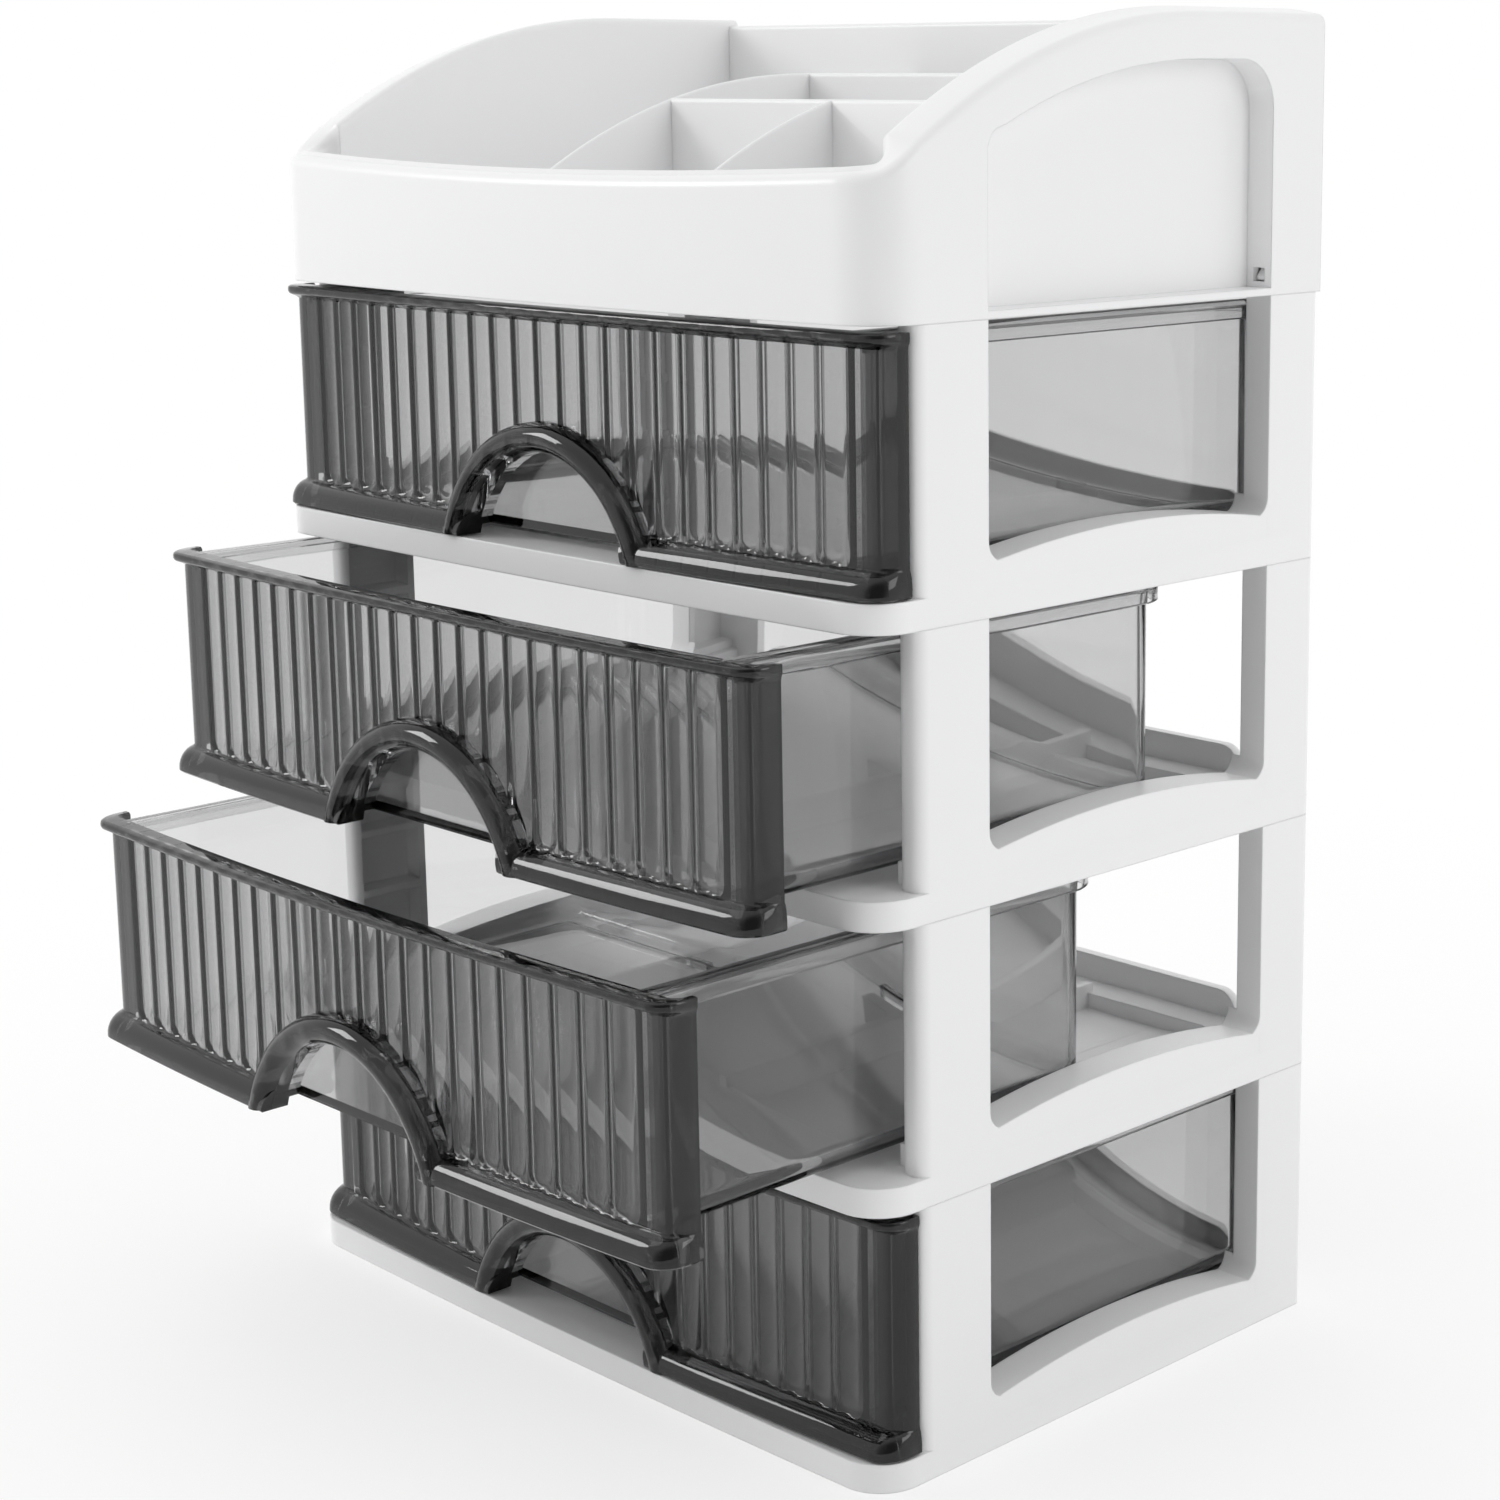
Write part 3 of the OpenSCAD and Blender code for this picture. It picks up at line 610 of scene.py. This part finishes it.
def arch_bead():
    """Round bead over the finger niche, its feet standing in the pull lip and its back in the front."""
    foot = math.degrees(math.asin((PULL_Z + ARCH_DROP) / ARCH_R))
    middle = ARCH_R - 0.2 - ARCH_BEAD_W / 2
    rings = []
    for a in spread(foot, 180 - foot, 72):
        ring = []
        for b in range(0, 181, 15):
            r = middle + ARCH_BEAD_W / 2 * math.cos(math.radians(b))
            if b in (0, 180):
                out = -ARCH_BEAD_EDGE
            else:
                out = ARCH_BEAD_OUT * math.sin(math.radians(b)) ** ARCH_BEAD_POWER
            x = r * math.cos(math.radians(a))
            z = max(r * math.sin(math.radians(a)) - ARCH_DROP, PULL_Z + 0.1)
            ring.append((x, face_y(x) - out, z))
        x = middle * math.cos(math.radians(a))
        z = max(middle * math.sin(math.radians(a)) - ARCH_DROP, PULL_Z + 0.1)
        ring.append((x, face_y(x) + ARCH_BEAD_BACK, z))
        rings.append(ring)
    return skin(rings)


def drawer_mesh():
    """One drawer, closed, in the lowest case."""
    front = skin([front_section(s) for s in front_stations()])
    walls = skin([box_section(s) for s in box_path()])
    x = BOX_X - BOX_FOOT_R - 1
    y = BOX_REAR_Y - BOX_FOOT_R - 1
    floor = prism_z([(px, face_y(px) + 1.5) for px in spread(-x, x, 24)] + [(x, y), (-x, y)],
                    BOX_Z + 0.02, BOX_Z + BOX_FLOOR_T - 0.02)
    r_in = ARCH_R - ARCH_BEAD_W
    niche = plate_y(arch_outline(r_in + NICHE_WALL, BOX_Z), FACE_MID_Y + 0.5, NICHE_Y + NICHE_WALL)
    cut = plate_y(arch_outline(r_in, PULL_Z - 2), FACE_MID_Y - NICHE_CUT, NICHE_Y)
    feet = [side_block(side, FOOT_X0, FOOT_X1, BOX_REAR_Y - FOOT_FRONT, BOX_REAR_Y - FOOT_REAR,
                       PULL_Z + 0.2, BOX_Z + 0.1)
            for side in (-1, 1)]
    return combine("drawer", front, [
        ("UNION", [walls, floor, niche] + feet),
        ("DIFFERENCE", [cut]),
        ("UNION", [arch_bead()])])


def paint_drawer_shade(mesh):
    """Marks each face with the painted shade of its zone: beads, corners, ridges, the rest of the front,
    box.
    """
    painted_shade = mesh.attributes.new("painted_shade", "FLOAT_COLOR", "FACE")
    for face, value in zip(mesh.polygons, painted_shade.data):
        x, y, _ = face.center / MM
        ahead = face_y(clamp(x, -FRONT_X + FRONT_R, FRONT_X - FRONT_R)) - y
        in_front = ahead > -FRONT_T - 2
        # Painted shade: the beads and pull lip darkest, then the corners, the ridges and the rest of the
        # front, with the box near clear
        if ahead > 0.5:
            shade = BEAD_PAINTED_SHADE
        elif abs(x) > FRONT_X - 3 or (in_front and abs(x) > FLUTED_ZONE_END):
            shade = CORNER_PAINTED_SHADE
        elif in_front:
            on_ridge = (x + RIDGES_END) / FLUTE_PITCH % 1 < RIDGE_SHARE
            shade = RIDGE_PAINTED_SHADE if on_ridge else FRONT_PAINTED_SHADE
        else:
            shade = BOX_SHADE
        value.color = (shade, shade, shade, 1)


# ---- Tray ----

def rim_z(y):
    """Height of the side rim's outer edge at depth y."""
    run = REAR_Y - LIP_Y - RIM_LEVEL - TRAY_BACK
    return TRAY_H - RIM_FALL * (max(0.0, REAR_Y - RIM_LEVEL - y) / run) ** RIM_POWER


def collar_stations():
    """(x, y, nx, ny) round the tray's outer face, from its rear left end past the front to the right."""
    x_end = HALF_W - TRAY_R
    y_end = LIP_Y + TRAY_BACK
    left = [(-HALF_W, y, -1, 0) for y in spread(REAR_Y, y_end + TRAY_R, 48)[:-1]]
    for i in range(21):
        a = math.radians(180 + (90 - TRAY_CORNER_SHORT) * i / 20)
        left.append((-x_end + TRAY_R * math.cos(a), y_end + TRAY_R + TRAY_R * math.sin(a),
                     math.cos(a), math.sin(a)))
    front = []
    for x in spread(-x_end, x_end, 48)[1:-1]:
        slope = 2 * TRAY_BOW * x / x_end ** 2
        length = math.hypot(1, slope)
        front.append((x, bowed(x, x_end, y_end, TRAY_BOW), slope / length, -1 / length))
    return left + front + [(-x, y, -nx, ny) for x, y, nx, ny in reversed(left)]


def collar_z(x, y):
    """Height of the wall's outer edge: the side rim or the front's dipped top, blended where they meet."""
    front = TRAY_FRONT_H - TRAY_FRONT_DIP * (1 - (x / HALF_W) ** 2)
    side = rim_z(y)
    return 0.5 * (side + front + math.sqrt((side - front) ** 2 + 1.0))


def collar_section(station):
    """Wall of the tray: up its inner face, over the crest and rounded outer edge, down its outer face."""
    x, y, nx, ny = station
    z = collar_z(x, y)
    t = RIM_W + (TRAY_FRONT_T - RIM_W) * max(0.0, -ny)
    points = [(-t, 0)]
    points += [(-t + RIM_IN_R * (1 - math.cos(a)), z + RIM_CREST - RIM_IN_R * (1 - math.sin(a)))
               for a in [math.radians(15 * i) for i in range(7)]]
    points += [(-RIM_EDGE_R * (1 - math.cos(a)), z - RIM_EDGE_R * (1 - math.sin(a)))
               for a in [math.radians(90 - 11.25 * i) for i in range(9)]]
    points.append((0, 0))
    return [(x + nx * out, y + ny * out, h) for out, h in points]


def long_divider(x, y_back):
    """Divider with a rounded top that follows the side rim."""
    y0 = LIP_Y + TRAY_BACK - TRAY_BOW + TRAY_FRONT_T - DIVIDER_BITE
    half = DIVIDER_T / 2
    rings = []
    for y in spread(y0, y_back, 30):
        top = min(rim_z(y), rim_z(y_back)) - DIVIDER_DROP
        over = [(x + half * math.cos(math.radians(a)), y, top - half + half * math.sin(math.radians(a)))
                for a in range(0, 181, 30)]
        rings.append([(x - half, y, 0.2), (x + half, y, 0.2)] + over)
    return skin(rings)


def cross_divider(y):
    """Divider from the left long divider to the right side, with a rounded top."""
    half = DIVIDER_T / 2
    top = rim_z(y) - DIVIDER_DROP
    over = [(y + half * math.cos(math.radians(a)), top - half + half * math.sin(math.radians(a)))
            for a in range(0, 181, 30)]
    return plate_x([(y - half, 0.2), (y + half, 0.2)] + over, DIVIDER_LEFT_X, HALF_W - RIM_W / 2)


def side_recess():
    """Shallow recess in the side, under a band that follows the rim."""
    y0 = WINDOW_FRONT_Y
    y1 = WINDOW_REAR_Y
    r0 = RECESS_FRONT_R
    r1 = RECESS_REAR_R
    top = [(y, rim_z(y) - RECESS_BAND) for y in spread(y1 - r1, y0 + r0, 32)]
    z1 = top[0][1]
    z0 = rim_z(y0 + r0) - RECESS_BAND
    outline = ([(y0, RECESS_Z), (y1, RECESS_Z)] + arc(y1 - r1, z1 - r1, r1, 0, 90, 12)[:-1] + top
               + arc(y0 + r0, z0 - r0, r0, RECESS_FRONT_A, 180, 8))
    return plate_x(outline, HALF_W - RECESS_D, HALF_W + 1)


def tray_rear():
    """Rear wall between the side rims, with a rounded top."""
    r = TRAY_REAR_R
    y0 = REAR_Y - TRAY_REAR_T
    z = TRAY_H - TRAY_REAR_DROP - r
    x = HALF_W - RIM_W / 2
    return plate_x([(REAR_Y - 0.02, 0.1), (REAR_Y - 0.02, z)] + arc(REAR_Y - r, z, r, 0, 90, 6)
                   + arc(y0 + r, z, r, 90, 180, 6) + [(y0, 0.1)], -x, x)


def tray_cuts():
    """Cuts in the right side: the recess, the sockets for the tongues, and the slot for the tooth."""
    x0 = HALF_W - RECESS_D + 0.5
    x1 = HALF_W - WALL
    slot_w = TONGUE_W + 2 * CLEARANCE
    return [side_recess(),
            block(x0, x1, FRONT_POST_Y + FRONT_POST_R + WALL, WINDOW_FRONT_Y - WALL, -1, SOCKET_H),
            block(x0, x1, WINDOW_REAR_Y + WALL, REAR_Y - WALL, -1, SOCKET_H),
            block(x1 - slot_w, x1, WINDOW_REAR_Y - 1, WINDOW_REAR_Y + WALL + 1, SLOT_Z0, SLOT_Z1)]


def tray_mesh():
    """The open tray, standing on the cases, with its base at the origin's height."""
    collar = skin([collar_section(s) for s in collar_stations()])
    floor = prism_z(plan(HALF_W - 1, REAR_Y - 1, LIP_Y + TRAY_BACK + 1, TRAY_BOW, TRAY_R - 1, CASE_REAR_R),
                    0.05, TRAY_FLOOR_T)
    dividers = [long_divider(DIVIDER_LEFT_X, REAR_Y - REAR_WALL_T),
                long_divider(DIVIDER_RIGHT_X, DIVIDER_MID_Y),
                cross_divider(DIVIDER_REAR_Y),
                cross_divider(DIVIDER_MID_Y)]
    cuts = tray_cuts()
    return combine("tray", collar, [
        ("UNION", [tray_rear(), floor] + dividers),
        ("DIFFERENCE", cuts + [mirrored(c) for c in cuts])])


# ---- Materials ----

def principled(name, **values):
    """New material with a Principled shader; returns the material, its nodes, links and shader."""
    material = bpy.data.materials.new(name)
    material.use_nodes = True
    nodes = material.node_tree.nodes
    shader = nodes["Principled BSDF"]
    for socket, value in values.items():
        shader.inputs[socket.replace("_", " ")].default_value = value
    return material, nodes, material.node_tree.links, shader


def object_noise(nodes, links, scale, detail):
    """Noise fixed to the object."""
    coordinates = nodes.new("ShaderNodeTexCoord")
    noise = nodes.new("ShaderNodeTexNoise")
    noise.inputs["Scale"].default_value = scale
    noise.inputs["Detail"].default_value = detail
    links.new(coordinates.outputs["Object"], noise.inputs["Vector"])
    return noise


def ramp(nodes, links, source, low, high):
    """Maps a 0 to 1 signal to a range."""
    mapper = nodes.new("ShaderNodeMapRange")
    mapper.inputs["To Min"].default_value = low
    mapper.inputs["To Max"].default_value = high
    links.new(source, mapper.inputs["Value"])
    return mapper.outputs["Result"]


def white_plastic():
    """Opaque white moulded plastic: satin gloss, a faint orange peel, small rounded edges."""
    material, nodes, links, shader = principled(
        "white moulded plastic", Base_Color=(0.90, 0.90, 0.905, 1), IOR=1.49)
    sheen = object_noise(nodes, links, 25, 1)
    links.new(ramp(nodes, links, sheen.outputs["Fac"], 0.29, 0.34), shader.inputs["Roughness"])
    peel = object_noise(nodes, links, 90, 1)
    bump = nodes.new("ShaderNodeBump")
    bump.inputs["Strength"].default_value = 0.03
    bump.inputs["Distance"].default_value = 0.0002
    links.new(peel.outputs["Fac"], bump.inputs["Height"])
    bevel = nodes.new("ShaderNodeBevel")
    bevel.samples = 6
    bevel.inputs["Radius"].default_value = 0.0007
    links.new(bevel.outputs["Normal"], bump.inputs["Normal"])
    links.new(bump.outputs["Normal"], shader.inputs["Normal"])
    return material


def smoke_plastic():
    """Clear smoke-grey moulded plastic: polished, with faint flow waves, darker where it is thicker, and
    darkened further by each drawer zone's painted shade.
    """
    material, nodes, links, shader = principled(
        "smoke clear plastic", IOR=1.49, Transmission_Weight=1.0)
    waves = object_noise(nodes, links, 35, 2)
    bump = nodes.new("ShaderNodeBump")
    bump.inputs["Strength"].default_value = 0.06
    bump.inputs["Distance"].default_value = 0.0008
    links.new(waves.outputs["Fac"], bump.inputs["Height"])
    links.new(bump.outputs["Normal"], shader.inputs["Normal"])
    haze = object_noise(nodes, links, 120, 3)
    links.new(ramp(nodes, links, haze.outputs["Fac"], 0.01, 0.04), shader.inputs["Roughness"])
    # Painted shade: each face's zone shade tints the light let through, in place of the dark look that
    # refraction and reflection give the drawer
    painted_shade = nodes.new("ShaderNodeAttribute")
    painted_shade.attribute_name = "painted_shade"
    links.new(painted_shade.outputs["Color"], shader.inputs["Base Color"])
    smoke = nodes.new("ShaderNodeVolumeAbsorption")
    smoke.inputs["Color"].default_value = (0.30, 0.30, 0.31, 1)
    smoke.inputs["Density"].default_value = SMOKE_DENSITY
    links.new(smoke.outputs["Volume"], nodes["Material Output"].inputs["Volume"])
    return material


# ---- The object ----

WHITE = white_plastic()
SMOKE = smoke_plastic()

tier = tier_mesh()
smooth(tier, 20)
for level in range(4):
    place("case_%d" % (level + 1), tier, (0, 0, level * TIER_H), "tier_%d" % (level + 1), "case",
          WHITE)

tray = tray_mesh()
smooth(tray, 24)
place("tray", tray, (0, 0, TRAY_Z), "top_tray", "case", WHITE)

drawer = drawer_mesh()
paint_drawer_shade(drawer)
smooth(drawer, 38)
for level in range(4):
    node = "drawer_%d" % (level + 1)
    place("clear_" + node, drawer, (0, -OPEN[level], level * TIER_H), node, node, SMOKE)


# ---- Stage, light and camera ----

FLOOR_HALF = 3000
FLOOR_T = 20
# Share of plain white in the floor near the object, and the distances in metres over which it grows to 1
NEAR_WHITE = 0.65
NEAR_DISTANCE = 0.15
FAR_DISTANCE = 0.6
# Strength of the world as a lamp
FILL_LIGHT = 0.94
# Direction of the studio's unlit side, cosines of the angles to it between which the world dims, and the
# share of its light that is left there
DARK_SIDE = (0.73, -0.65, 0.21)
DARK_FROM = 0.55
DARK_FULL = 0.95
DARK_GLOW = 0.25
# The photograph's viewpoint: place in millimetres, tilt and turn in degrees, lens in millimetres, and
# how far the frame is shifted, as shares of its width
CAMERA_PLACE = Vector((588.6, -525.35, 333.9))
CAMERA_TILT = 10.814
CAMERA_TURN = 43.309
CAMERA_LENS = 70.09
CAMERA_SHIFT = (-0.187, -0.0756)
# Point that the lamps face, in metres
LAMP_TARGET = Vector((0, 0, 0.15))


def area_light(name, location, size, power):
    """Rectangular lamp that points at the object."""
    light = bpy.data.lights.new(name, "AREA")
    light.shape = "RECTANGLE"
    light.size, light.size_y = size
    light.energy = power
    obj = bpy.data.objects.new(name, light)
    obj.location = location
    obj.rotation_euler = (LAMP_TARGET - obj.location).to_track_quat("-Z", "Y").to_euler()
    bpy.context.scene.collection.objects.link(obj)


def math_node(nodes, links, operation, a, b):
    """Result of a calculation on two sockets, the second of which may be a number."""
    node = nodes.new("ShaderNodeMath")
    node.operation = operation
    links.new(a, node.inputs[0])
    if isinstance(b, float):
        node.inputs[1].default_value = b
    else:
        links.new(b, node.inputs[1])
    return node.outputs["Value"]


def seen_directly(nodes, links):
    """1 for rays from the camera, off gloss or through clear plastic, and 0 for all others."""
    path = nodes.new("ShaderNodeLightPath")
    seen = math_node(nodes, links, "MAXIMUM", path.outputs["Is Camera Ray"], path.outputs["Is Glossy Ray"])
    return math_node(nodes, links, "MAXIMUM", seen, path.outputs["Is Transmission Ray"])


def make_floor():
    """White floor that keeps the object's shadow and turns plain white away from it."""
    a = FLOOR_HALF
    floor = skin([[(x, y, z) for x, y in ((-a, -a), (a, -a), (a, a), (-a, a))]
                  for z in (-FLOOR_T, -0.02)], "floor")
    material, nodes, links, shader = principled("floor", Base_Color=(0.95, 0.95, 0.95, 1), Roughness=0.9)
    shader.inputs["Specular IOR Level"].default_value = 0.0
    distance = nodes.new("ShaderNodeVectorMath")
    distance.operation = "LENGTH"
    links.new(nodes.new("ShaderNodeTexCoord").outputs["Object"], distance.inputs[0])
    away = nodes.new("ShaderNodeMapRange")
    away.inputs["From Min"].default_value = NEAR_DISTANCE
    away.inputs["From Max"].default_value = FAR_DISTANCE
    away.inputs["To Min"].default_value = NEAR_WHITE
    away.inputs["To Max"].default_value = 1.0
    links.new(distance.outputs["Value"], away.inputs["Value"])
    share = math_node(nodes, links, "MULTIPLY", away.outputs["Result"], seen_directly(nodes, links))
    white = nodes.new("ShaderNodeEmission")
    white.inputs["Strength"].default_value = 1.0
    mix = nodes.new("ShaderNodeMixShader")
    links.new(share, mix.inputs["Fac"])
    links.new(shader.outputs["BSDF"], mix.inputs[1])
    links.new(white.outputs["Emission"], mix.inputs[2])
    links.new(mix.outputs["Shader"], nodes["Material Output"].inputs["Surface"])
    floor.data.materials.append(material)


def make_world():
    """White wherever it is seen, reflected or seen through plastic, and softer as a lamp."""
    world = bpy.data.worlds.new("studio")
    bpy.context.scene.world = world
    world.use_nodes = True
    nodes = world.node_tree.nodes
    links = world.node_tree.links
    background = nodes["Background"]
    background.inputs["Color"].default_value = (1, 1, 1, 1)
    path = nodes.new("ShaderNodeLightPath")
    dark_side = nodes.new("ShaderNodeVectorMath")
    dark_side.operation = "DOT_PRODUCT"
    dark_side.inputs[1].default_value = DARK_SIDE
    links.new(nodes.new("ShaderNodeTexCoord").outputs["Generated"], dark_side.inputs[0])
    glow = nodes.new("ShaderNodeMapRange")
    glow.interpolation_type = "SMOOTHSTEP"
    glow.inputs["From Min"].default_value = DARK_FROM
    glow.inputs["From Max"].default_value = DARK_FULL
    glow.inputs["To Min"].default_value = 1.0
    glow.inputs["To Max"].default_value = DARK_GLOW
    links.new(dark_side.outputs["Value"], glow.inputs["Value"])
    lamp = math_node(nodes, links, "MULTIPLY", glow.outputs["Result"], FILL_LIGHT)
    gloss = math_node(nodes, links, "MULTIPLY", glow.outputs["Result"], path.outputs["Is Glossy Ray"])
    seen = math_node(nodes, links, "MAXIMUM", path.outputs["Is Camera Ray"],
                     path.outputs["Is Transmission Ray"])
    bright = math_node(nodes, links, "MAXIMUM", seen, gloss)
    strength = math_node(nodes, links, "MAXIMUM", bright, lamp)
    links.new(strength, background.inputs["Strength"])


def make_camera():
    """Camera at the photograph's viewpoint."""
    data = bpy.data.cameras.new("camera")
    data.sensor_width = 36
    data.lens = CAMERA_LENS
    data.shift_x, data.shift_y = CAMERA_SHIFT
    data.clip_start = 0.01
    camera = bpy.data.objects.new("camera", data)
    camera.location = CAMERA_PLACE * MM
    camera.rotation_euler = (math.radians(90 - CAMERA_TILT), 0, math.radians(CAMERA_TURN))
    bpy.context.scene.collection.objects.link(camera)
    bpy.context.scene.camera = camera


make_floor()
make_world()
make_camera()
# Places and sizes of the lamps are in metres, powers in watts.
area_light("key", (-1.3, -1.1, 1.1), (0.5, 0.7), 9)
area_light("side", (1.6, 0.3, 0.9), (0.6, 0.9), 4.5)

bpy.context.scene.view_settings.view_transform = "Standard"
